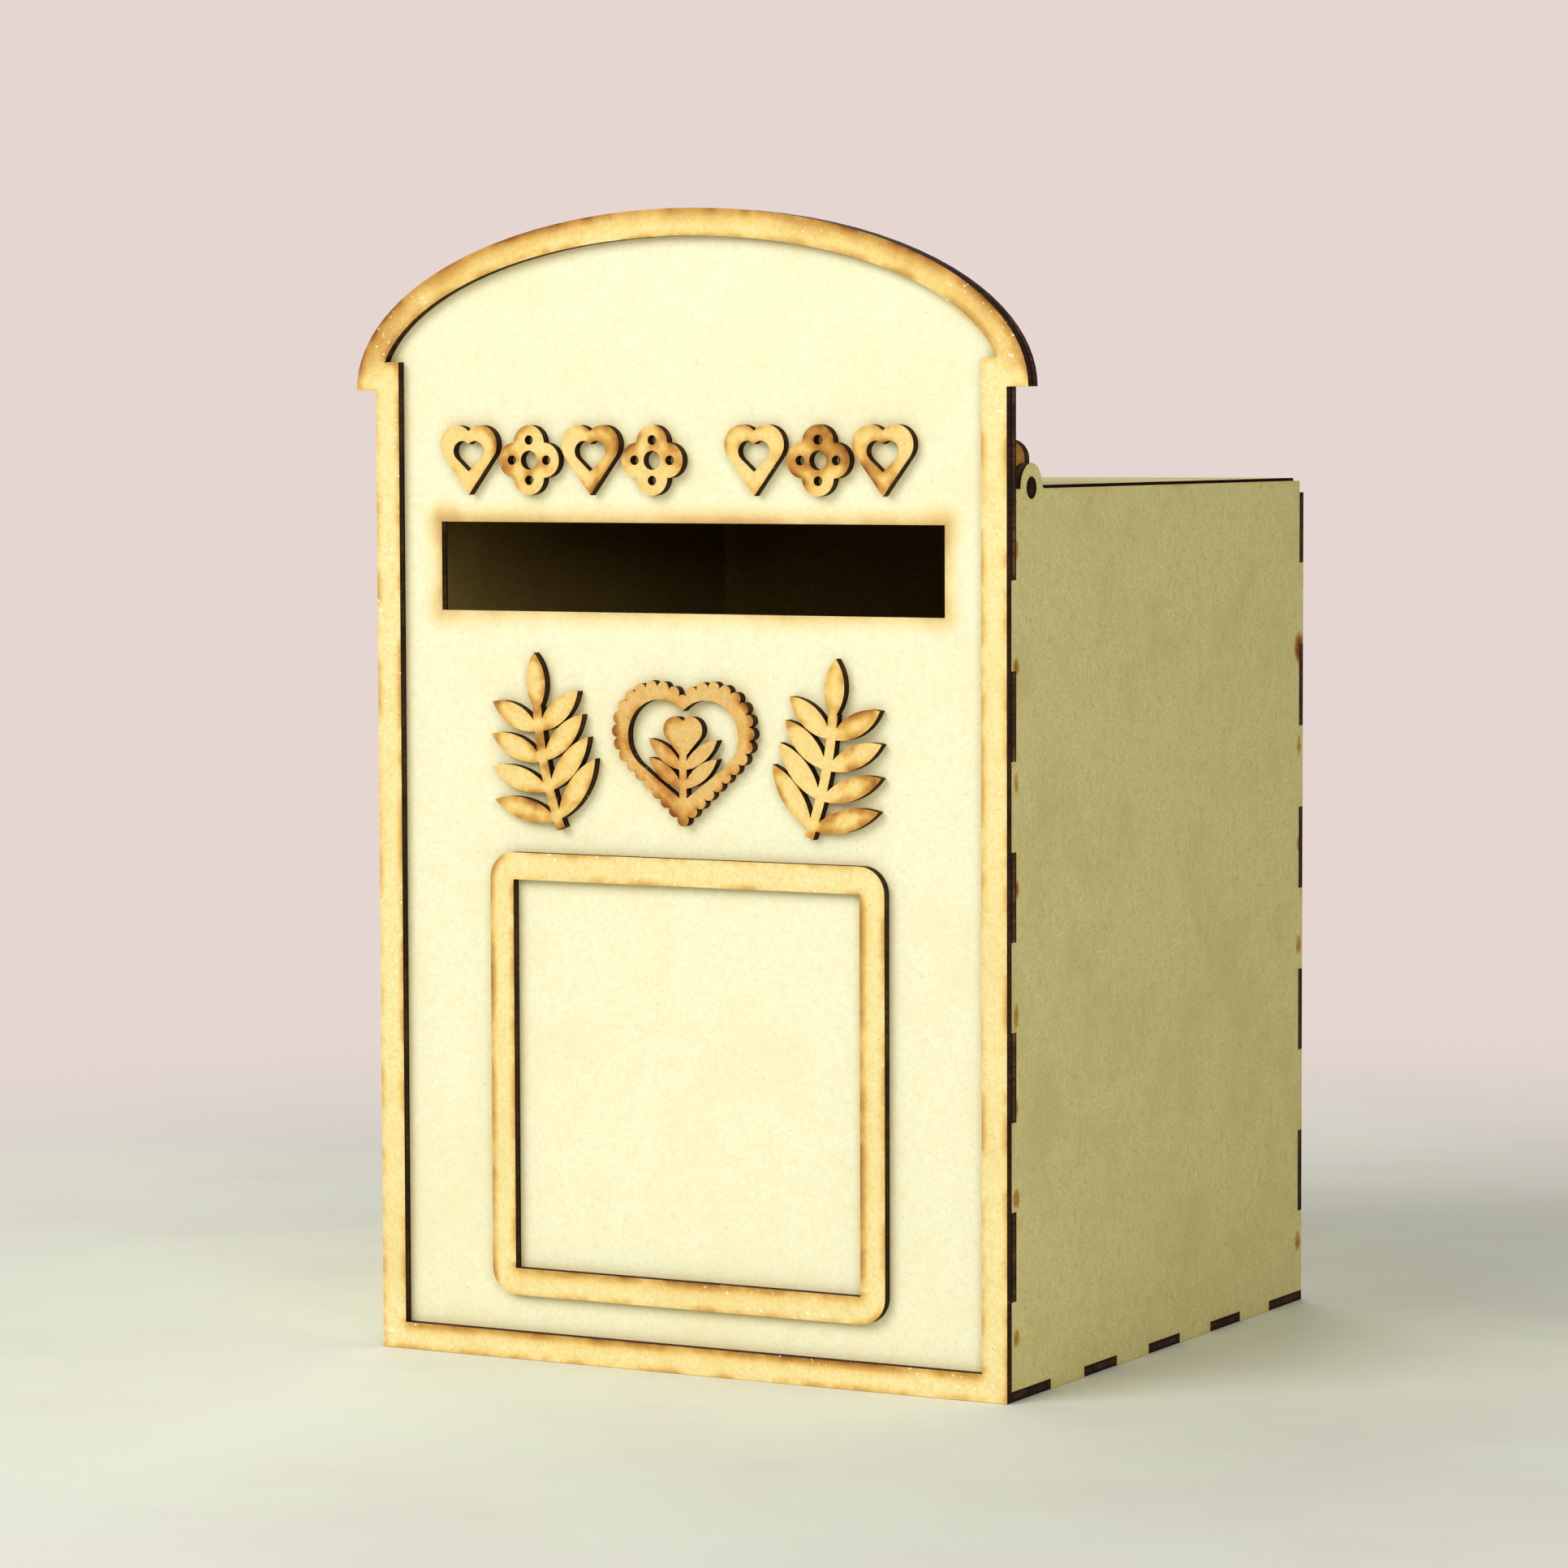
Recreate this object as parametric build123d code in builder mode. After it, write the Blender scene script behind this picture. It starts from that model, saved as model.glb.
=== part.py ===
from build123d import *
from math import asin, atan2, cos, degrees, hypot, radians, sin, sqrt
import os

# Board
sheet = 3.0                 # thickness of every board and of every raised piece

# Box
front_width = 210.0         # front board across its straight sides
box_depth = 206.0           # front face of the front board to the back face of the back board
side_fingers = 10           # fingers up each upright corner
base_fingers = 9            # fingers along each edge of the base

# Arched top
shoulder_out = 6.75         # how far the arch stands out past each straight side
arch_rise = 52.0            # arch above the shoulders

# Raised frame round the front
frame_band = 8.0            # width of the band
arch_step_up = 8.3          # the stiles end this far above the shoulders

# Raised square frame, low on the front
notice_width = 132.0
notice_height = 132.0
notice_band = 8.0
notice_radius = 8.0         # its outer corners
notice_gap = 11.2           # above the bottom band

# Raised group of two sprigs and a heart
group_gap = 7.6             # above the square frame
group_height = 51.7
stem_foot = 41.5            # centre line to the foot of a sprig's stem
stem_lean = 8.0             # the stem's head stands this much further out
stem_bulge = 1.5            # how far the stem bows outward
stem_width = 3.0
leaf_pairs = 4
leaf_start = 0.07           # first pair, as a fraction of the stem
leaf_step = 0.245           # from pair to pair, as a fraction of the stem
leaf_length = 22.5          # lowest leaves
leaf_shrink = 1.5           # each pair is this much shorter than the pair below
leaf_width = 6.5
leaf_angle = 55.0           # between a leaf and the stem
top_leaf_length = 17.5
heart_width = 44.0          # the openwork heart, without its beads
heart_height = 38.5
heart_band = 3.6
heart_lift = 2.0            # the heart's lowest bead above the sprigs' feet
bead_radius = 1.9
bead_count = 34
keepsake_width = 13.0       # the small heart inside it
keepsake_height = 12.5
keepsake_lift = 17.5        # its tip above the openwork heart's tip
stalk_width = 2.4
spray_leaf_width = 4.4      # leaves on its stalk
spray_leaf_length = 14.5
spray_angle = 38.0          # over the horizontal
spray_lift = 9.0            # lower pair, above the openwork heart's tip
spray_step = 5.5            # from pair to pair

# Letter slot
slot_gap = 12.0             # above the sprigs
slot_width = 168.0
slot_height = 26.3

# Row of small ornaments over the slot
row_gap = 8.0               # above the slot
row_height = 20.5
row_width = 19.6            # one ornament
row_pitch = 20.9
row_count = 7
row_first_group = 4         # ornaments to the left of the break
row_break = 13.0            # extra space at the break
row_shift = -3.4            # centre of the row from the centre line
row_band = 4.6              # width of an ornament's band
flower_petals = 4
flower_eye = 2.8            # radius of the flower's middle hole
petal_eye = 1.4             # radius of the hole in each petal
petal_eye_out = 1.15        # its distance from the flower's middle, in petal radii

# Hearts
lobe_share = 0.29           # radius of a lobe, as a fraction of the heart's width
tip_lift = 1.5              # the opening's tip above the heart's tip, in widths of the band

# Heights of the boards over the slot
lid_over_slot = 10.2        # top of the side boards above the slot
shoulder_over_row = 10.5    # shoulders above the row of ornaments

# Hinge ears and pegs
ear_radius = 7.0
ear_hole = 6.4              # diameter
ear_back = 12.8             # centre of the hole behind the front board's front face
ear_rise = 0.3              # centre of the hole above the side board's top
ear_fillet = 1.5            # behind the ear, where it meets the top edge
peg_side = 3.0              # pegs are square, as thick as the board
peg_clearance = 0.15        # under the peg's corner in the hole

# Lid
lid_side_gap = 0.5          # between the lid and each side board
lid_front_gap = 1.0         # between the lid and the front board
back_end_drop = 1.5         # the back board's outer fingers end this far below its top

# Upright stops on the lid
stop_width = 11.4
stop_height = 13.1          # above the lid
stop_behind_axis = 2.7      # stop's front face behind the hinge axis
stop_tenon = 5.0            # width of the tenon through the lid
stop_flat = 0.2             # flat left at the middle of its rounded top

# Places across the box, front to back; the raised frame's front and the back are as far from the middle
front_face = sheet - (box_depth + sheet) / 2
raised_face = front_face - sheet
back_face = front_face + box_depth
inner_front = front_face + sheet
inner_back = back_face - sheet
half_width = front_width / 2
inner_half = half_width - sheet

# Heights, from the floor up
notice_bottom = frame_band + notice_gap
group_bottom = notice_bottom + notice_height + group_gap
slot_bottom = group_bottom + group_height + slot_gap
slot_top = slot_bottom + slot_height
row_bottom = slot_top + row_gap
side_top = slot_top + lid_over_slot
shoulder = row_bottom + row_height + shoulder_over_row

# Arch
arch_half = half_width + shoulder_out
inner_arch_half = arch_half - frame_band
inner_arch_rise = arch_rise - frame_band

# Hinge axis: the square peg lies in the bottom of the ear's round hole
peg_corner = hypot(peg_side, sheet) / 2
hole_centre_y = front_face + ear_back
hole_centre_z = side_top + ear_rise
axis_y = hole_centre_y
axis_z = hole_centre_z - (ear_hole / 2 - peg_corner - peg_clearance)
lid_under = axis_z - sheet / 2
lid_top = axis_z + sheet / 2
lid_half = inner_half - lid_side_gap
stop_front = axis_y + stop_behind_axis


# Finger joints: the spans along an edge, cut into equal fingers and numbered from its start
def finger_spans(start, end, count, first):
    pitch = (end - start) / count
    return [(start + pitch * n, start + pitch * (n + 1)) for n in range(first, count, 2)]


upright_spans = finger_spans(side_top, sheet, side_fingers, 1)
width_spans = finger_spans(-inner_half, inner_half, base_fingers, 1)
depth_spans = finger_spans(inner_front, inner_back, base_fingers, 1)


# A rectangle by its corners, in the sketch that is open
def block(x_from, x_to, z_from, z_to, mode=Mode.ADD):
    with Locations(((x_from + x_to) / 2, (z_from + z_to) / 2)):
        Rectangle(abs(x_to - x_from), abs(z_to - z_from), mode=mode)


# The front's outline from a given height up
def front_outline(bottom):
    with BuildSketch(mode=Mode.PRIVATE) as shape:
        with BuildLine():
            arch = EllipticalCenterArc((0, shoulder), arch_half, arch_rise, arc_size=180)
            Line(arch @ 1, arch @ 0)
        make_face()
        block(-half_width, half_width, bottom, shoulder)
    return shape.sketch


# Notches for the side boards' fingers and fingers for the base, in the sketch that is open
def front_or_back_fingers():
    for low, high in upright_spans:
        for side in (-1, 1):
            block(side * inner_half, side * half_width, low, high, Mode.SUBTRACT)
    for left, right in width_spans:
        block(left, right, 0, sheet)


# A heart with its tip at the sketch's origin: two lobes and the straight lines that meet them
def heart(width, height):
    lobe = width * lobe_share
    lobe_x = width / 2 - lobe
    lobe_z = height - lobe
    reach = hypot(lobe_x, lobe_z)
    lean = atan2(lobe_z, lobe_x) - asin(lobe / reach)
    run = sqrt(reach**2 - lobe**2)
    touch = (run * cos(lean), run * sin(lean))
    notch = (0, lobe_z + sqrt(lobe**2 - lobe_x**2))
    notch_angle = atan2(notch[1] - lobe_z, -lobe_x)
    middle = (lean - radians(90) + notch_angle) / 2
    crown = (lobe_x + lobe * cos(middle), lobe_z + lobe * sin(middle))
    with BuildSketch(mode=Mode.PRIVATE) as shape:
        with BuildLine():
            Line((0, 0), touch)
            ThreePointArc(touch, crown, notch)
            mirror(about=Plane.YZ)
        make_face()
    return shape.sketch


# The opening that leaves a band all round such a heart
def heart_opening(width, height, band):
    lift = band * tip_lift
    return Pos(0, lift) * heart(width - 2 * band, height - lift - band)


# A pointed leaf from the sketch's origin along +X
def leaf(length, width):
    with BuildSketch(mode=Mode.PRIVATE) as shape:
        with BuildLine():
            ThreePointArc((0, 0), (length / 2, width / 2), (length, 0))
            ThreePointArc((0, 0), (length / 2, -width / 2), (length, 0))
        make_face()
    return shape.sketch


os.makedirs("parts", exist_ok=True)

# Front board
with BuildPart() as front_panel:
    with BuildSketch(Plane.XZ.offset(-front_face)):
        add(front_outline(sheet))
        front_or_back_fingers()
        block(-slot_width / 2, slot_width / 2, slot_bottom, slot_top, Mode.SUBTRACT)
    extrude(amount=-sheet)
front_panel.part.label = "front_panel"
export_step(front_panel.part, "parts/front_panel.step")

# Back board
with BuildPart() as back_panel:
    with BuildSketch(Plane.XZ.offset(-inner_back)):
        block(-half_width, half_width, sheet, lid_under)
        front_or_back_fingers()
        for side in (-1, 1):
            block(side * inner_half, side * half_width, lid_under - back_end_drop, lid_under, Mode.SUBTRACT)
    extrude(amount=-sheet)
back_panel.part.label = "back_panel"
export_step(back_panel.part, "parts/back_panel.step")

# Base
with BuildPart() as base_panel:
    with BuildSketch():
        block(-half_width, half_width, front_face, back_face)
        for left, right in width_spans:
            block(left, right, front_face, inner_front, Mode.SUBTRACT)
            block(left, right, inner_back, back_face, Mode.SUBTRACT)
        for near, far in depth_spans:
            for side in (-1, 1):
                block(side * inner_half, side * half_width, near, far, Mode.SUBTRACT)
    extrude(amount=sheet)
base_panel.part.label = "base_panel"
export_step(base_panel.part, "parts/base_panel.step")

# Side boards, each with its hinge ear
for name, inner_x in (("side_panel_left", -half_width), ("side_panel_right", inner_half)):
    with BuildPart() as side_panel:
        with BuildSketch(Plane.YZ.offset(inner_x)) as outline:
            block(inner_front, inner_back, sheet, side_top)
            for low, high in upright_spans:
                block(front_face, back_face, low, high)
            for near, far in depth_spans:
                block(near, far, 0, sheet)
            with Locations((hole_centre_y, hole_centre_z)):
                Circle(ear_radius)
            on_top = outline.vertices().filter_by_position(Axis.Y, side_top, side_top)
            fillet(on_top.sort_by(Axis.X)[-2], ear_fillet)
            with Locations((hole_centre_y, hole_centre_z)):
                Circle(ear_hole / 2, mode=Mode.SUBTRACT)
        extrude(amount=sheet)
    side_panel.part.label = name
    export_step(side_panel.part, f"parts/{name}.step")

# Raised frame round the front
with BuildPart() as front_frame:
    with BuildSketch(Plane.XZ.offset(-raised_face)):
        add(front_outline(0))
        with BuildSketch(mode=Mode.PRIVATE) as opening:
            with Locations((0, shoulder)):
                Ellipse(inner_arch_half, inner_arch_rise)
            block(-arch_half, arch_half, shoulder + arch_step_up, shoulder + arch_rise, Mode.INTERSECT)
            block(frame_band - half_width, half_width - frame_band, frame_band, shoulder + arch_step_up)
        add(opening.sketch, mode=Mode.SUBTRACT)
    extrude(amount=-sheet)
front_frame.part.label = "front_frame"
export_step(front_frame.part, "parts/front_frame.step")

# Raised square frame
with BuildPart() as notice_frame:
    with BuildSketch(Plane.XZ.offset(-raised_face)):
        with Locations((0, notice_bottom + notice_height / 2)):
            RectangleRounded(notice_width, notice_height, notice_radius)
            Rectangle(notice_width - 2 * notice_band, notice_height - 2 * notice_band, mode=Mode.SUBTRACT)
    extrude(amount=-sheet)
notice_frame.part.label = "notice_frame"
export_step(notice_frame.part, "parts/notice_frame.step")

# Leaf sprigs, mirrored about the centre line
stem_height = group_height - top_leaf_length + stem_width / 2
for name, side in (("left_sprig", -1), ("right_sprig", 1)):
    foot = (side * stem_foot, group_bottom)
    head = (side * (stem_foot + stem_lean), group_bottom + stem_height)
    bend = (side * (stem_foot + stem_lean / 2 + stem_bulge), group_bottom + stem_height / 2)
    with BuildPart() as sprig:
        with BuildSketch(Plane.XZ.offset(-raised_face)):
            with BuildLine() as stem:
                ThreePointArc(foot, bend, head)
            trace(line_width=stem_width)
            for n in range(leaf_pairs):
                place = leaf_start + leaf_step * n
                root = stem.line @ place
                along = degrees(atan2((stem.line % place).Y, (stem.line % place).X))
                for turn in (-leaf_angle, leaf_angle):
                    blade = leaf(leaf_length - leaf_shrink * n, leaf_width)
                    add(Location((root.X, root.Y, 0), (0, 0, along + turn)) * blade)
            upright = degrees(atan2((stem.line % 1).Y, (stem.line % 1).X))
            top = stem.line @ 1 - (stem.line % 1) * stem_width / 2
            add(Location((top.X, top.Y, 0), (0, 0, upright)) * leaf(top_leaf_length, leaf_width))
        extrude(amount=-sheet)
    sprig.part.label = name
    export_step(sprig.part, f"parts/{name}.step")

# Openwork heart between the sprigs: a beaded band with a small heart on a leafy stalk inside it
heart_tip = group_bottom + heart_lift + bead_radius
with BuildPart() as centre_heart:
    with BuildSketch(Plane.XZ.offset(-raised_face)):
        outline = Pos(0, heart_tip) * heart(heart_width, heart_height)
        rim = outline.face().outer_wire()
        add(outline)
        for n in range(bead_count):
            spot = rim @ (n / bead_count)
            with Locations((spot.X, spot.Y)):
                Circle(bead_radius)
        add(Pos(0, heart_tip) * heart_opening(heart_width, heart_height, heart_band), mode=Mode.SUBTRACT)
        block(-stalk_width / 2, stalk_width / 2, heart_tip + heart_band, heart_tip + keepsake_lift + stalk_width)
        add(Pos(0, heart_tip + keepsake_lift) * heart(keepsake_width, keepsake_height))
        for root_z in (heart_tip + spray_lift, heart_tip + spray_lift + spray_step):
            for direction in (spray_angle, 180 - spray_angle):
                add(Location((0, root_z, 0), (0, 0, direction)) * leaf(spray_leaf_length, spray_leaf_width))
    extrude(amount=-sheet)
centre_heart.part.label = "centre_heart"
export_step(centre_heart.part, "parts/centre_heart.step")

# Row of small hearts and flowers, four and then three
row_span = (row_count - 1) * row_pitch + row_break
row_start = row_shift - row_span / 2
petal = row_height / 4
for n in range(row_count):
    centre_x = row_start + n * row_pitch + (row_break if n >= row_first_group else 0)
    kind = "flower" if n % 2 else "heart"
    with BuildPart() as ornament:
        with BuildSketch(Plane.XZ.offset(-raised_face)):
            if kind == "heart":
                add(Pos(centre_x, row_bottom) * heart(row_width, row_height))
                add(Pos(centre_x, row_bottom) * heart_opening(row_width, row_height, row_band), mode=Mode.SUBTRACT)
            else:
                with Locations((centre_x, row_bottom + row_height / 2)):
                    with PolarLocations(petal, flower_petals):
                        Circle(petal)
                    Circle(flower_eye, mode=Mode.SUBTRACT)
                    with PolarLocations(petal * petal_eye_out, flower_petals):
                        Circle(petal_eye, mode=Mode.SUBTRACT)
        extrude(amount=-sheet)
    ornament.part.label = f"row_{kind}_{n + 1}"
    export_step(ornament.part, f"parts/{ornament.part.label}.step")

# Lid with its two pegs
stop_centres = (stop_width / 2 - lid_half, lid_half - stop_width / 2)
with BuildPart() as lid_panel:
    with BuildSketch(Plane.XY.offset(lid_under)):
        block(-lid_half, lid_half, inner_front + lid_front_gap, back_face)
        block(-half_width, half_width, axis_y - peg_side / 2, axis_y + peg_side / 2)
        for centre_x in stop_centres:
            with Locations((centre_x, stop_front + sheet / 2)):
                Rectangle(stop_tenon, sheet, mode=Mode.SUBTRACT)
    extrude(amount=sheet)
lid_panel.part.label = "lid_panel"
export_step(lid_panel.part, "parts/lid_panel.step")

# Upright stops: each stands in a slot of the lid and meets the front board when the lid is open
for name, centre_x in zip(("lid_stop_left", "lid_stop_right"), stop_centres):
    with BuildPart() as lid_stop:
        with BuildSketch(Plane.XZ.offset(-stop_front)) as outline:
            block(centre_x - stop_width / 2, centre_x + stop_width / 2, lid_top, lid_top + stop_height)
            fillet(outline.vertices().group_by(Axis.Y)[-1], (stop_width - stop_flat) / 2)
            block(centre_x - stop_tenon / 2, centre_x + stop_tenon / 2, lid_under, lid_top)
        extrude(amount=-sheet)
    lid_stop.part.label = name
    export_step(lid_stop.part, f"parts/{name}.step")
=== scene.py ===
from math import radians

import bpy
from mathutils import Matrix, Vector

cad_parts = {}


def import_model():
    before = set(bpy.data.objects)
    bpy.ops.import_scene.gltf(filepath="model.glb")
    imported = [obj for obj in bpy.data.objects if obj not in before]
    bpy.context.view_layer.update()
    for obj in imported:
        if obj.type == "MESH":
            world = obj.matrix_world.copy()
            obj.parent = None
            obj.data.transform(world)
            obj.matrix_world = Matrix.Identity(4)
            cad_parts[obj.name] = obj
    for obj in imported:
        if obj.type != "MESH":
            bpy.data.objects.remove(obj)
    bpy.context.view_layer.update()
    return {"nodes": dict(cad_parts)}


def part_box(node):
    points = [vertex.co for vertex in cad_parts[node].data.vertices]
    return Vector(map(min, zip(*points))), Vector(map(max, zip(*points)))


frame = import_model()

MM = 0.001

# Where the boards lie, in metres, from the frame
FRONT_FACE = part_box("front_panel")[0].y
BACK_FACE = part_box("back_panel")[1].y
HALF_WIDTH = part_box("side_panel_right")[1].x
ARCH_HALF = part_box("front_frame")[1].x
NOTICE_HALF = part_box("notice_frame")[1].x
NOTICE_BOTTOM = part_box("notice_frame")[0].z

# Sizes of the box that the finishes follow and no piece's box gives, in metres
SHEET = 3 * MM
BAND = 8 * MM                  # width of the raised bands
SIDE_TOP = 259 * MM
SLOT_WIDTH = 168 * MM
SLOT_HEIGHT = 26.3 * MM
SLOT_BOTTOM = 222.5 * MM
SHOULDER = 287.8 * MM
ARCH_RISE = 52 * MM

# How far stains and painted shade reach, in metres
RIM_REACH = 2.8 * MM           # in from a cut
BESIDE_SHADE_REACH = 4.5 * MM        # out from a raised piece
SLOT_REACH = 8 * MM            # out from the letter slot
CORNER_REACH = 10 * MM         # round a corner of the letter slot

# The photograph's camera
IMAGE = 1932
FOCAL_PIXELS = 6722
SENSOR = 36.0
CAMERA_AT = Vector((787.4, -1476.4, 279.5)) * MM
YAW = 28.79
PITCH = -3.85
ROLL = -0.19
CLIP_END = 100

# Colours, as they look on a screen
FACE_PALE = (252, 251, 217)
FACE_FIBRE = (249, 234, 184)
SIDE_PALE = (250, 236, 170)
SIDE_FIBRE = (214, 196, 124)
SIDE_GREEN = (222, 216, 142)
RAISED_PALE = (253, 239, 176)
RAISED_FIBRE = (241, 211, 134)
ORNAMENT_PALE = (250, 227, 152)
ORNAMENT_FIBRE = (236, 198, 122)
KEEPSAKE_PALE = (238, 200, 126)
KEEPSAKE_FIBRE = (210, 166, 98)
STOP_PALE = (196, 150, 82)
STOP_FIBRE = (158, 114, 56)
FLECK = (255, 252, 232)
CHAR = (27, 12, 11)
CHAR_STREAK = (136, 94, 54)
GLUE = (168, 172, 160)
FLOOR_PALE = (250, 254, 238)
BACKGROUND = (230, 214, 209)
ROOM_LIGHT = (255, 253, 250)

# Colours that multiply the board's own: three depths of stain, and painted shade on the board's inner side
SMOKE_TINT = (253, 235, 203)
BROWN_TINT = (215, 190, 160)
SCORCH_TINT = (172, 130, 88)
INNER_SHADE_TINT = (186, 168, 132)

# Finish of the bare board and of the floor
BOARD_SPECULAR = 0.15
BOARD_BUMP = 0.05 * MM
EDGE_STRETCH = 0.03            # of the lines in a cut edge, along the beam
OCCLUSION_SAMPLES = 12
FLOOR_ROUGHNESS = 0.9
FLOOR_SPECULAR = 0.1

# Floor, room light and where the lamps face, in metres
FLOOR_HALF = 30.0
FLOOR_DROP = 0.1 * MM          # below the box, so that the two faces don't coincide
FLOOR_FADE_START = 0.22
FLOOR_FADE_END = 0.95
ROOM_STRENGTH = 0.22
LAMPS_FACE = Vector((0, 0, 0.17))


def linear(colour):
    """A screen colour of 0 to 255 a channel as the four linear values that a shader takes."""
    parts = [c / 255 for c in colour]
    return [c / 12.92 if c <= 0.04045 else ((c + 0.055) / 1.055) ** 2.4 for c in parts] + [1.0]


class Graph:
    """One material's nodes. Most methods add nodes and return their result."""

    def __init__(self, name):
        self.material = bpy.data.materials.new(name)
        self.material.use_nodes = True
        self.nodes = self.material.node_tree.nodes
        self.links = self.material.node_tree.links
        self.shader = self.nodes["Principled BSDF"]
        place = self.nodes.new("ShaderNodeTexCoord")
        self.place = place.outputs["Object"]
        self.normal = place.outputs["Normal"]
        self.x, self.y, self.z = self.split(self.place)

    def put(self, socket, value):
        """Links a node's result to a socket, or sets the socket to a plain value."""
        if isinstance(value, bpy.types.NodeSocket):
            self.links.new(value, socket)
        else:
            socket.default_value = value

    def split(self, vector):
        node = self.nodes.new("ShaderNodeSeparateXYZ")
        self.put(node.inputs[0], vector)
        return node.outputs[0], node.outputs[1], node.outputs[2]

    def along(self, axis):
        return {"X": self.x, "Y": self.y, "Z": self.z}[axis]

    def math(self, operation, *values, clamp=False):
        node = self.nodes.new("ShaderNodeMath")
        node.operation = operation
        node.use_clamp = clamp
        for socket, value in zip(node.inputs, values):
            self.put(socket, value)
        return node.outputs[0]

    def plus(self, first, *others):
        for other in others:
            first = self.math("ADD", first, other)
        return first

    def times(self, first, *others):
        for other in others:
            first = self.math("MULTIPLY", first, other)
        return first

    def absolute(self, value):
        return self.math("ABSOLUTE", value)

    def square(self, value):
        return self.math("POWER", self.absolute(value), 2.0)

    def length(self, across, up):
        return self.math("SQRT", self.plus(self.square(across), self.square(up)))

    def fade(self, value, start, end, low=0.0, high=1.0):
        """Goes smoothly from low at start to high at end, and stays level beyond both."""
        node = self.nodes.new("ShaderNodeMapRange")
        node.interpolation_type = "SMOOTHSTEP"
        for socket, part in zip(node.inputs, (value, start, end, low, high)):
            self.put(socket, part)
        return node.outputs[0]

    def noise(self, scale, detail=2.0, roughness=0.5, stretch=(1, 1, 1)):
        """Soft random cells of about 1 / scale metres, stretched along an axis by a factor under one."""
        mapping = self.nodes.new("ShaderNodeMapping")
        self.put(mapping.inputs["Vector"], self.place)
        mapping.inputs["Scale"].default_value = stretch
        node = self.nodes.new("ShaderNodeTexNoise")
        self.put(node.inputs["Vector"], mapping.outputs[0])
        node.inputs["Scale"].default_value = scale
        node.inputs["Detail"].default_value = detail
        node.inputs["Roughness"].default_value = roughness
        return node.outputs[0]

    def dots(self, scale, patch_scale, patch_start, patch_end):
        """Small round dots that gather in patches."""
        patches = self.fade(self.noise(patch_scale), patch_start, patch_end)
        return self.times(self.fade(self.noise(scale), 0.66, 0.7), patches)

    def blend(self, factor, first, second, kind="MIX"):
        node = self.nodes.new("ShaderNodeMix")
        node.data_type = "RGBA"
        node.blend_type = kind
        node.clamp_factor = True
        self.put(node.inputs[0], factor)
        self.put(node.inputs[6], first)
        self.put(node.inputs[7], second)
        return node.outputs[2]

    def occluded(self, reach, inside):
        """One in a corner, falling to zero about reach away from it.

        With inside, the corners are the board's own cut edges, as seen from within it. Without, they are
        where another piece stands on the board.
        """
        node = self.nodes.new("ShaderNodeAmbientOcclusion")
        node.inside = inside
        node.only_local = inside
        node.samples = OCCLUSION_SAMPLES
        node.inputs["Distance"].default_value = reach
        return self.math("MULTIPLY", self.math("SUBTRACT", 1.0, node.outputs["AO"]), 2.0, clamp=True)

    def spot(self, across, up, at_across, at_up, width, height):
        """One at the middle of an oval mark and zero outside it."""
        step_across = self.math("DIVIDE", self.math("SUBTRACT", across, at_across), width)
        step_up = self.math("DIVIDE", self.math("SUBTRACT", up, at_up), height)
        return self.fade(self.plus(self.square(step_across), self.square(step_up)), 0.05, 1.0, 1.0, 0.0)

    def box_distance(self, across, up, half_across, half_up):
        """How far outside a rectangle a point lies."""
        past_across = self.math("SUBTRACT", self.absolute(across), half_across)
        past_up = self.math("SUBTRACT", self.absolute(up), half_up)
        return self.length(self.math("MAXIMUM", past_across, 0.0), self.math("MAXIMUM", past_up, 0.0))

    def finish(self, colour, roughness, bump_height):
        self.put(self.shader.inputs["Base Color"], colour)
        self.put(self.shader.inputs["Roughness"], roughness)
        self.shader.inputs["Specular IOR Level"].default_value = BOARD_SPECULAR
        bump = self.nodes.new("ShaderNodeBump")
        bump.inputs["Distance"].default_value = BOARD_BUMP
        self.put(bump.inputs["Height"], bump_height)
        self.put(self.shader.inputs["Normal"], bump.outputs[0])
        return self.material


def mottled(g, pale, fibre, second, fibres):
    """The board's bare face: fibres, tufts and clouds over the pale colour, and fine dark specks."""
    clouds = g.noise(34, 4, 0.62)
    tufts = g.noise(340, 4, 0.65)
    specks = g.noise(1300)
    face = g.blend(g.fade(fibres, 0.36, 0.68, 0.0, 0.62), linear(pale), linear(fibre))
    face = g.blend(g.fade(tufts, 0.5, 0.72, 0.0, 0.5), face, linear(fibre))
    face = g.blend(g.fade(clouds, 0.45, 0.72, 0.0, 0.4), face, linear(fibre))
    if second:
        face = g.blend(g.fade(g.noise(300, 5, 0.75), 0.42, 0.66, 0.0, 0.55), face, linear(second))
    return g.blend(g.fade(specks, 0.68, 0.76, 0.0, 0.55), face, linear(SCORCH_TINT), "MULTIPLY")


def stained(g, face, amount):
    """The face under an amount of smoke, and on the front board of painted shade: amber first, then brown,
    then scorched.
    """
    face = g.blend(g.fade(amount, 0.0, 0.5), face, linear(SMOKE_TINT), "MULTIPLY")
    face = g.blend(g.fade(amount, 0.3, 1.0), face, linear(BROWN_TINT), "MULTIPLY")
    return g.blend(g.fade(amount, 0.9, 1.7), face, linear(SCORCH_TINT), "MULTIPLY")


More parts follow.
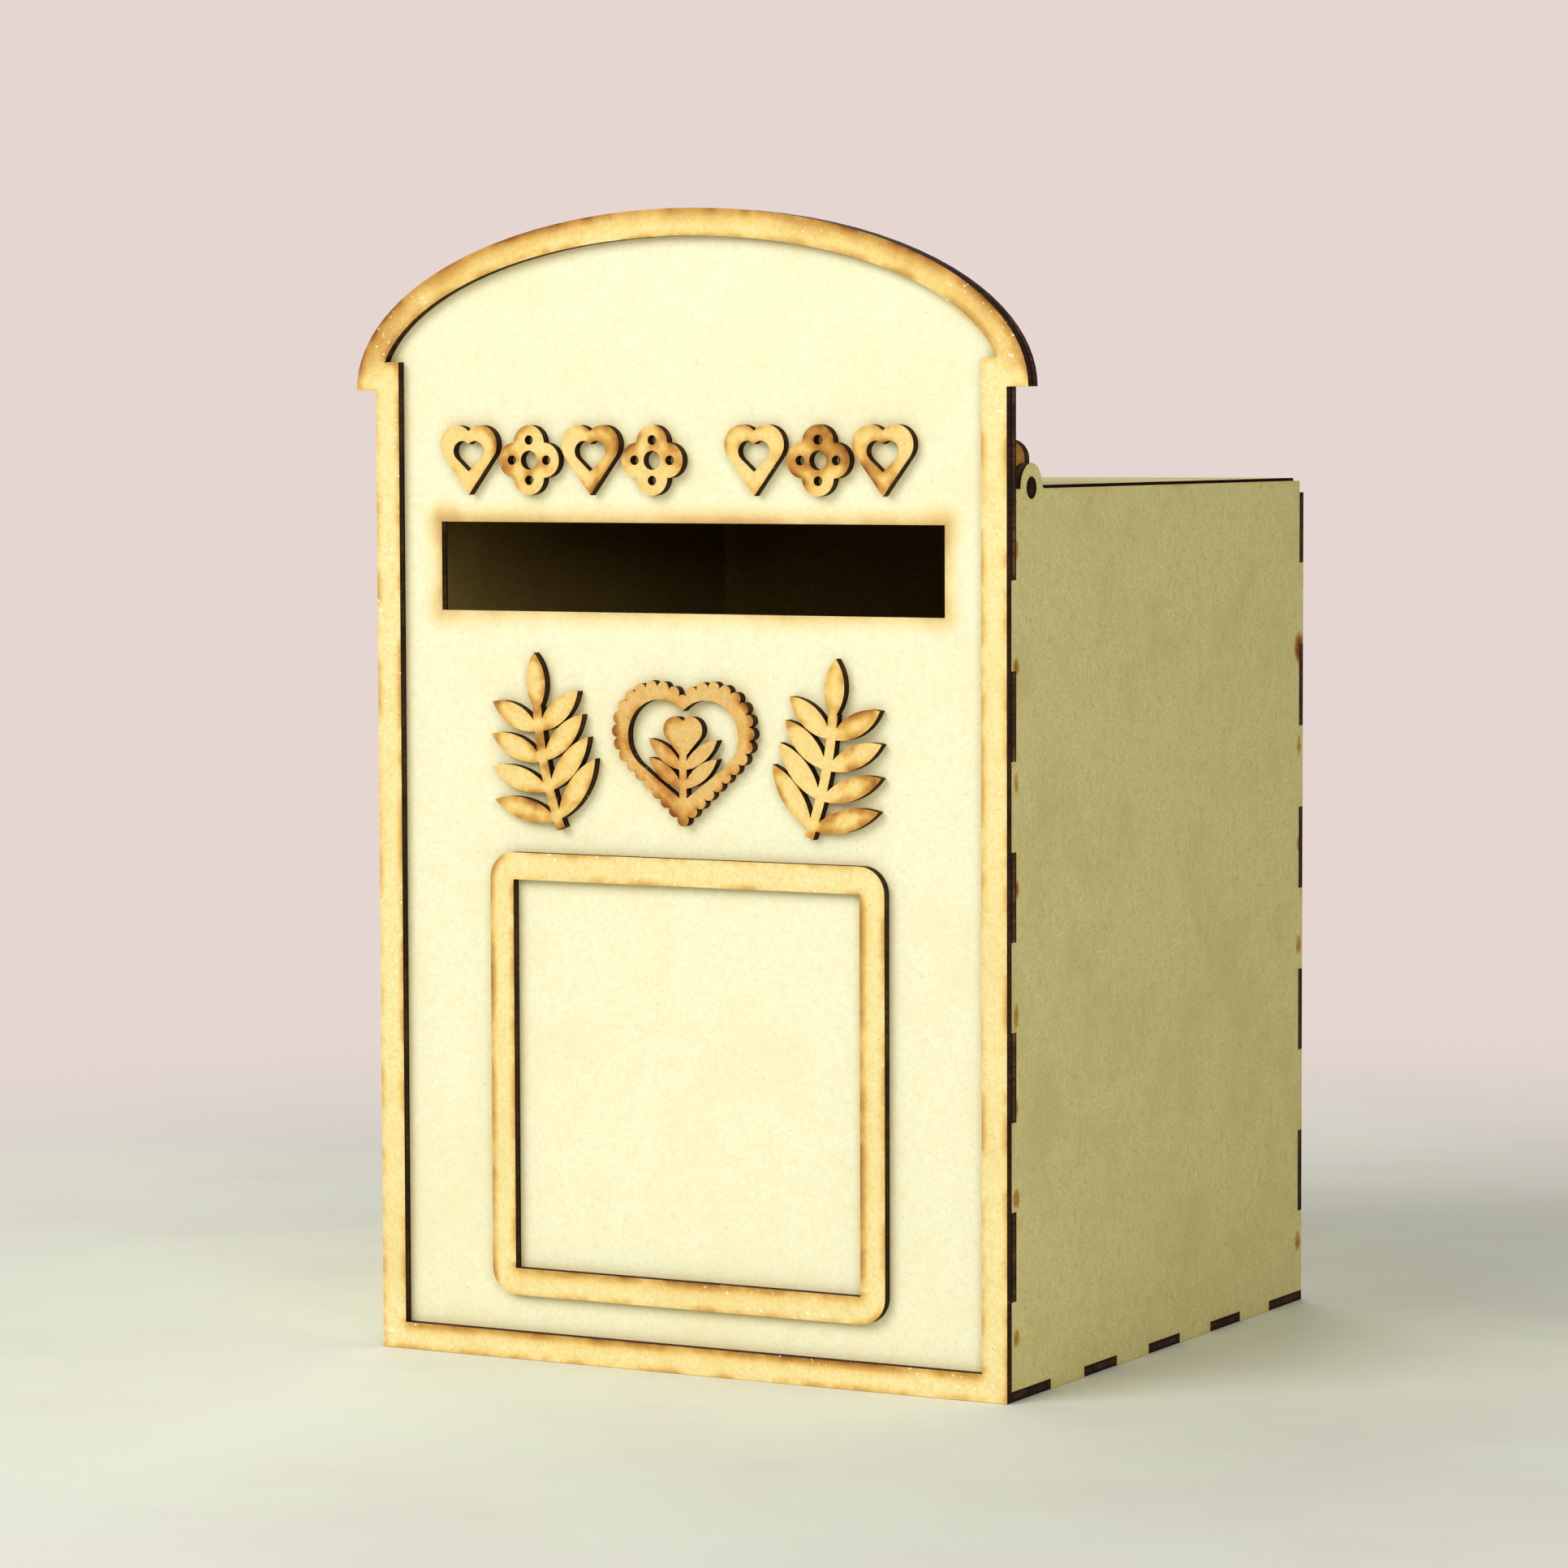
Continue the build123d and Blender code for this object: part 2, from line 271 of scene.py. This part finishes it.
def cut_edge(g, axis, middle, streak_light):
    """Charred wood with fine lines through the board, a browner streak at its mid-plane and a few glue beads.

    Returns the colour, and the lines for the relief.
    """
    lines = g.noise(900, 3, 0.6, [EDGE_STRETCH if name == axis else 1 for name in "XYZ"])
    patch = g.fade(g.noise(70, 3, 0.6), 0.38, 0.62, 0.35, 1.0)
    depth = g.absolute(g.math("SUBTRACT", g.absolute(g.along(axis)), abs(middle)))
    inner = g.fade(depth, 0.25 * MM, 1.35 * MM, 1.0, 0.0)
    streak = g.times(inner, g.fade(lines, 0.35, 0.65, 0.35, 1.0), patch, streak_light)
    edge = g.blend(streak, linear(CHAR), linear(CHAR_STREAK))
    beads = g.dots(640, 24, 0.56, 0.64)
    return g.blend(g.times(beads, 0.5), edge, linear(GLUE)), lines


def inner_side(g, axis, through):
    """Where the painted shade goes: one on the faces that look into the box, and zero on all others."""
    box_middle = {"X": 0.0, "Y": 0.0, "Z": SIDE_TOP / 2}[axis]
    from_middle = g.math("SUBTRACT", g.along(axis), box_middle)
    inward = g.math("LESS_THAN", g.times(through, from_middle), 0.0)
    return g.times(inward, g.math("LESS_THAN", g.z, SIDE_TOP + SHEET))


def board(name, axis, middle, pale, fibre, rim_stain, streak_light, patchy,
          extra=None, second=None, flecked=False):
    """Bare fibreboard: mottled faces, smoke-stained near the cuts, with painted shade inside the box, and
    charred cut edges.

    axis is the direction through the board, and middle is where its mid-plane lies along it. pale and fibre
    are the face's two colours, and second is a third that mottles it finely. rim_stain is how deep the stain
    is at the cuts, and patchy how unevenly the faces are stained all over. streak_light is how bright the
    streak in the cut edges is. extra gives a board's own stains and painted shade, as a function of the graph
    that returns an amount. flecked adds pale flecks.
    """
    g = Graph(name)
    through = dict(zip("XYZ", g.split(g.normal)))[axis]
    is_edge = g.math("LESS_THAN", g.absolute(through), 0.5)
    fibres = g.noise(1000, 5, 0.7)
    patches = g.noise(58, 3, 0.6)

    rim = g.times(g.occluded(RIM_REACH, inside=True), g.fade(patches, 0.36, 0.62, 0.3, 1.15), rim_stain)
    amount = g.plus(rim, g.times(g.fade(patches, 0.45, 0.75), patchy))
    if extra:
        amount = g.plus(amount, extra(g))
    face = stained(g, mottled(g, pale, fibre, second, fibres), amount)
    if flecked:
        face = g.blend(g.dots(700, 26, 0.5, 0.62), face, linear(FLECK))
    # Painted shade: the faces that look into the box are darkened by a multiplied tint.
    face = g.blend(inner_side(g, axis, through), face, linear(INNER_SHADE_TINT), "MULTIPLY")

    edge, lines = cut_edge(g, axis, middle, streak_light)
    roughness = g.fade(fibres, 0.3, 0.7, 0.7, 0.86)
    return g.finish(g.blend(is_edge, face, edge), roughness, g.blend(is_edge, fibres, lines))


# Extra smoke at the letter slot's corners: left or right, lower or upper, strength
SLOT_CORNERS = ((-1, 1, 0.2), (1, 1, 0.12), (-1, -1, 0.16), (1, -1, 0.08))


def front_smoke_and_shade(g):
    """Smoke round the letter slot, heaviest at the cut and above it, and painted shade beside raised pieces,
    in the corners where they stand on the board.
    """
    half_width = SLOT_WIDTH / 2
    half_height = SLOT_HEIGHT / 2
    from_middle = g.math("SUBTRACT", g.z, SLOT_BOTTOM + half_height)
    distance = g.box_distance(g.x, from_middle, half_width, half_height)
    fall = g.fade(distance, -3 * MM, SLOT_REACH, 1.2, 0.0)
    height = g.fade(from_middle, -half_height, half_height, 0.55, 0.82)
    patch = g.fade(g.noise(42, 3, 0.55), 0.32, 0.66, 0.8, 1.1)
    amount = g.times(fall, height, patch)
    for side, up, strength in SLOT_CORNERS:
        mark = g.spot(g.x, from_middle, side * half_width, up * half_height, CORNER_REACH, CORNER_REACH)
        amount = g.plus(amount, g.times(mark, strength))
    # Painted shade: the front board is darkened in the corners where raised pieces stand on it, in the
    # stain's tints.
    beside = g.times(g.occluded(BESIDE_SHADE_REACH, inside=False), 0.32)
    on_outer_side = g.math("LESS_THAN", g.y, FRONT_FACE + SHEET / 2)
    return g.times(g.plus(amount, beside), on_outer_side)


def arch_smoke(g):
    """Browner along the outer side of the arch's band."""
    over_shoulder = g.math("SUBTRACT", g.z, SHOULDER)
    up = g.math("DIVIDE", g.math("MAXIMUM", over_shoulder, 0.0), ARCH_RISE)
    outward = g.length(g.math("DIVIDE", g.x, ARCH_HALF), up)
    return g.times(g.fade(outward, 0.86, 1.0, 0.12, 0.85), g.fade(over_shoulder, 0.0, BAND))


def lower_band_smoke(g, top, half_width, rise, past, ends, strength):
    """Browner toward the upper side of a lower band, and none near the band's two ends.

    top is the height of the upper side. The stain grows over rise below it, and fades between the two heights
    of past above it. Along the band it fades over the last stretch, which begins at ends from the outer side.
    """
    below = g.fade(g.z, top - rise, top)
    above = g.fade(g.z, top + past[0], top + past[1], strength, 0.0)
    return g.times(below, above, g.fade(g.absolute(g.x), half_width - ends, half_width - 3 * MM, 1.0, 0.0))


def notice_smoke(g):
    """Browner on the square frame's lower band, on its left edge and beside the opening on its right."""
    from_middle = g.absolute(g.math("SUBTRACT", g.z, NOTICE_BOTTOM + NOTICE_HALF))
    lower = lower_band_smoke(g, NOTICE_BOTTOM + BAND, NOTICE_HALF, 6 * MM, (MM, 2 * MM), 9 * MM, 0.6)
    left = g.fade(g.x, -NOTICE_HALF, 3.5 * MM - NOTICE_HALF, 0.45, 0.0)
    right = g.times(g.fade(g.x, NOTICE_HALF - BAND, NOTICE_HALF - 3 * MM, 0.5, 0.0),
                    g.math("GREATER_THAN", g.x, NOTICE_HALF - BAND - MM),
                    g.fade(from_middle, NOTICE_HALF - 14 * MM, NOTICE_HALF - 6 * MM, 1.0, 0.0))
    on_frame = g.times(g.math("LESS_THAN", g.absolute(g.x), NOTICE_HALF + MM),
                       g.math("LESS_THAN", from_middle, NOTICE_HALF + MM))
    return g.times(g.plus(lower, left, right), on_frame)


def raised_smoke(g):
    """The beam's smoke on the raised bands, uneven along them."""
    bottom = lower_band_smoke(g, BAND, HALF_WIDTH, 5 * MM, (0.5 * MM, 3 * MM), 11 * MM, 0.7)
    amount = g.plus(arch_smoke(g), bottom, notice_smoke(g))
    return g.times(amount, g.fade(g.noise(46, 3, 0.6), 0.3, 0.66, 0.6, 1.15))


# Scorch marks beside a side board's finger joints: height, reach inward and reach up in mm, and strength
FRONT_MARKS = ((242, 2.0, 4.0, 0.9), (209, 2.6, 3.0, 1.1), (176, 1.8, 4.0, 0.8), (146, 2.4, 3.2, 1.1),
               (110, 2.0, 4.5, 0.9), (84, 1.8, 3.2, 0.8), (58, 2.6, 3.6, 1.2), (18, 2.2, 3.6, 1.0))
BACK_MARKS = ((207, 5.0, 6.0, 1.4), (176, 2.2, 4.0, 0.9), (145, 2.2, 3.4, 0.9), (113, 2.4, 4.0, 1.0),
              (19, 2.6, 4.0, 1.1))


def side_scorch(g):
    """The marks that the finger joints leave on a side board, front and back."""
    total = 0.0
    for marks, edge_y in ((FRONT_MARKS, FRONT_FACE + SHEET), (BACK_MARKS, BACK_FACE - SHEET)):
        for height, inward, up, strength in marks:
            mark = g.spot(g.y, g.z, edge_y, height * MM, inward * MM, up * MM)
            total = g.math("MAXIMUM", total, g.times(mark, strength))
    return g.times(total, g.fade(g.noise(420, 3, 0.6), 0.3, 0.65, 0.7, 1.15))


# Mid-planes of the boards, each along the direction through it
RAISED_MIDDLE = FRONT_FACE - SHEET / 2
FRONT_MIDDLE = FRONT_FACE + SHEET / 2
BACK_MIDDLE = BACK_FACE - SHEET / 2
SIDE_MIDDLE = HALF_WIDTH - SHEET / 2
BASE_MIDDLE = SHEET / 2
LID_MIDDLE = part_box("lid_panel")[0].z + SHEET / 2
STOP_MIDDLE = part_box("lid_stop_left")[0].y + SHEET / 2

front = board("front_board", "Y", FRONT_MIDDLE, FACE_PALE, FACE_FIBRE,
              rim_stain=0.1, streak_light=1.0, patchy=0.05, extra=front_smoke_and_shade)
raised = board("raised_board", "Y", RAISED_MIDDLE, RAISED_PALE, RAISED_FIBRE,
               rim_stain=0.75, streak_light=0.3, patchy=0.15, extra=raised_smoke, flecked=True)
ornament = board("ornament_board", "Y", RAISED_MIDDLE, ORNAMENT_PALE, ORNAMENT_FIBRE,
                 rim_stain=0.8, streak_light=0.3, patchy=1.0)
keepsake = board("keepsake_board", "Y", RAISED_MIDDLE, KEEPSAKE_PALE, KEEPSAKE_FIBRE,
                 rim_stain=0.7, streak_light=0.3, patchy=0.8)
side = board("side_board", "X", SIDE_MIDDLE, SIDE_PALE, SIDE_FIBRE,
             rim_stain=0.3, streak_light=0.5, patchy=0.1, extra=side_scorch, second=SIDE_GREEN)
back = board("back_board", "Y", BACK_MIDDLE, SIDE_PALE, SIDE_FIBRE,
             rim_stain=0.4, streak_light=0.5, patchy=0.15, second=SIDE_GREEN)
base = board("base_board", "Z", BASE_MIDDLE, SIDE_PALE, SIDE_FIBRE,
             rim_stain=0.4, streak_light=0.4, patchy=0.2)
lid = board("lid_board", "Z", LID_MIDDLE, SIDE_PALE, SIDE_FIBRE,
            rim_stain=0.4, streak_light=0.15, patchy=0.15)
stop = board("stop_board", "Y", STOP_MIDDLE, STOP_PALE, STOP_FIBRE,
             rim_stain=0.9, streak_light=0.4, patchy=0.5)

# Each piece's finish, by how its name starts
FINISHES = {"front_panel": front, "back_panel": back, "base_panel": base, "side_panel": side,
            "front_frame": raised, "notice_frame": raised, "row_": ornament, "left_sprig": ornament,
            "right_sprig": ornament, "centre_heart": keepsake, "lid_panel": lid, "lid_stop": stop}


def finish_of(node):
    return next(finish for start, finish in FINISHES.items() if node.startswith(start))


for node, piece in frame["nodes"].items():
    if not piece.material_slots:
        piece.data.materials.append(finish_of(node))
    for slot in piece.material_slots:
        slot.link = "OBJECT"
        slot.material = finish_of(node)


def floor_finish():
    """Pale and faintly clouded, and for the camera it passes into the background away from the box."""
    g = Graph("floor")
    clouds = g.fade(g.noise(6, 4, 0.6), 0.35, 0.7, 0.0, 0.25)
    g.put(g.shader.inputs["Base Color"], g.blend(clouds, linear(FLOOR_PALE), linear(BACKGROUND)))
    g.shader.inputs["Roughness"].default_value = FLOOR_ROUGHNESS
    g.shader.inputs["Specular IOR Level"].default_value = FLOOR_SPECULAR
    far = g.nodes.new("ShaderNodeEmission")
    far.inputs["Color"].default_value = linear(BACKGROUND)
    away = g.length(g.x, g.y)
    rays = g.nodes.new("ShaderNodeLightPath")
    seen = g.math("ADD", rays.outputs["Is Camera Ray"], rays.outputs["Is Glossy Ray"], clamp=True)
    mixed = g.nodes.new("ShaderNodeMixShader")
    g.put(mixed.inputs[0], g.times(g.fade(away, FLOOR_FADE_START, FLOOR_FADE_END), seen))
    g.put(mixed.inputs[1], g.shader.outputs[0])
    g.put(mixed.inputs[2], far.outputs[0])
    g.put(g.nodes["Material Output"].inputs[0], mixed.outputs[0])
    return g.material


def floor():
    """A wide flat floor just under the box."""
    mesh = bpy.data.meshes.new("floor")
    corners = [(x * FLOOR_HALF, y * FLOOR_HALF, 0) for x, y in ((-1, -1), (1, -1), (1, 1), (-1, 1))]
    mesh.from_pydata(corners, [], [(0, 1, 2, 3)])
    mesh.materials.append(floor_finish())
    piece = bpy.data.objects.new("floor", mesh)
    piece.location.z = -FLOOR_DROP
    bpy.context.scene.collection.objects.link(piece)


floor()


def world():
    """Even pale light from all round, and the plain background that the camera sees."""
    scene = bpy.context.scene
    scene.world = bpy.data.worlds.new("studio")
    scene.world.use_nodes = True
    nodes = scene.world.node_tree.nodes
    links = scene.world.node_tree.links
    light = nodes["Background"]
    light.inputs["Color"].default_value = linear(ROOM_LIGHT)
    light.inputs["Strength"].default_value = ROOM_STRENGTH
    shown = nodes.new("ShaderNodeBackground")
    shown.inputs["Color"].default_value = linear(BACKGROUND)
    rays = nodes.new("ShaderNodeLightPath")
    seen = nodes.new("ShaderNodeMath")
    seen.operation = "ADD"
    seen.use_clamp = True
    links.new(rays.outputs["Is Camera Ray"], seen.inputs[0])
    links.new(rays.outputs["Is Transmission Ray"], seen.inputs[1])
    mixed = nodes.new("ShaderNodeMixShader")
    links.new(seen.outputs[0], mixed.inputs[0])
    links.new(light.outputs[0], mixed.inputs[1])
    links.new(shown.outputs[0], mixed.inputs[2])
    links.new(mixed.outputs[0], nodes["World Output"].inputs[0])


world()


def soft_lamp(name, at, size, power):
    """A square lamp of a side in metres and a power in watts, which faces the middle of the box."""
    data = bpy.data.lights.new(name, "AREA")
    data.shape = "SQUARE"
    data.size = size
    data.energy = power
    lamp = bpy.data.objects.new(name, data)
    lamp.location = at
    lamp.rotation_euler = (LAMPS_FACE - Vector(at)).to_track_quat("-Z", "Y").to_euler()
    bpy.context.scene.collection.objects.link(lamp)


soft_lamp("key", at=(-0.9, -1.9, 1.5), size=1.6, power=35.5)
soft_lamp("fill", at=(0.95, -1.15, 0.65), size=0.7, power=6)
soft_lamp("rear", at=(-1.3, 1.7, 1.3), size=1.6, power=17)


def photo_camera():
    """The camera at the photograph's place, turned and zoomed as it was."""
    data = bpy.data.cameras.new("camera")
    data.sensor_width = SENSOR
    data.lens = FOCAL_PIXELS / IMAGE * SENSOR
    data.clip_end = CLIP_END
    camera = bpy.data.objects.new("camera", data)
    turn = Matrix.Rotation(radians(YAW), 4, "Z") @ Matrix.Rotation(radians(90 + PITCH), 4, "X")
    camera.matrix_world = Matrix.Translation(CAMERA_AT) @ turn @ Matrix.Rotation(radians(ROLL), 4, "Z")
    bpy.context.scene.collection.objects.link(camera)
    bpy.context.scene.camera = camera


photo_camera()
bpy.context.scene.view_settings.view_transform = "Standard"
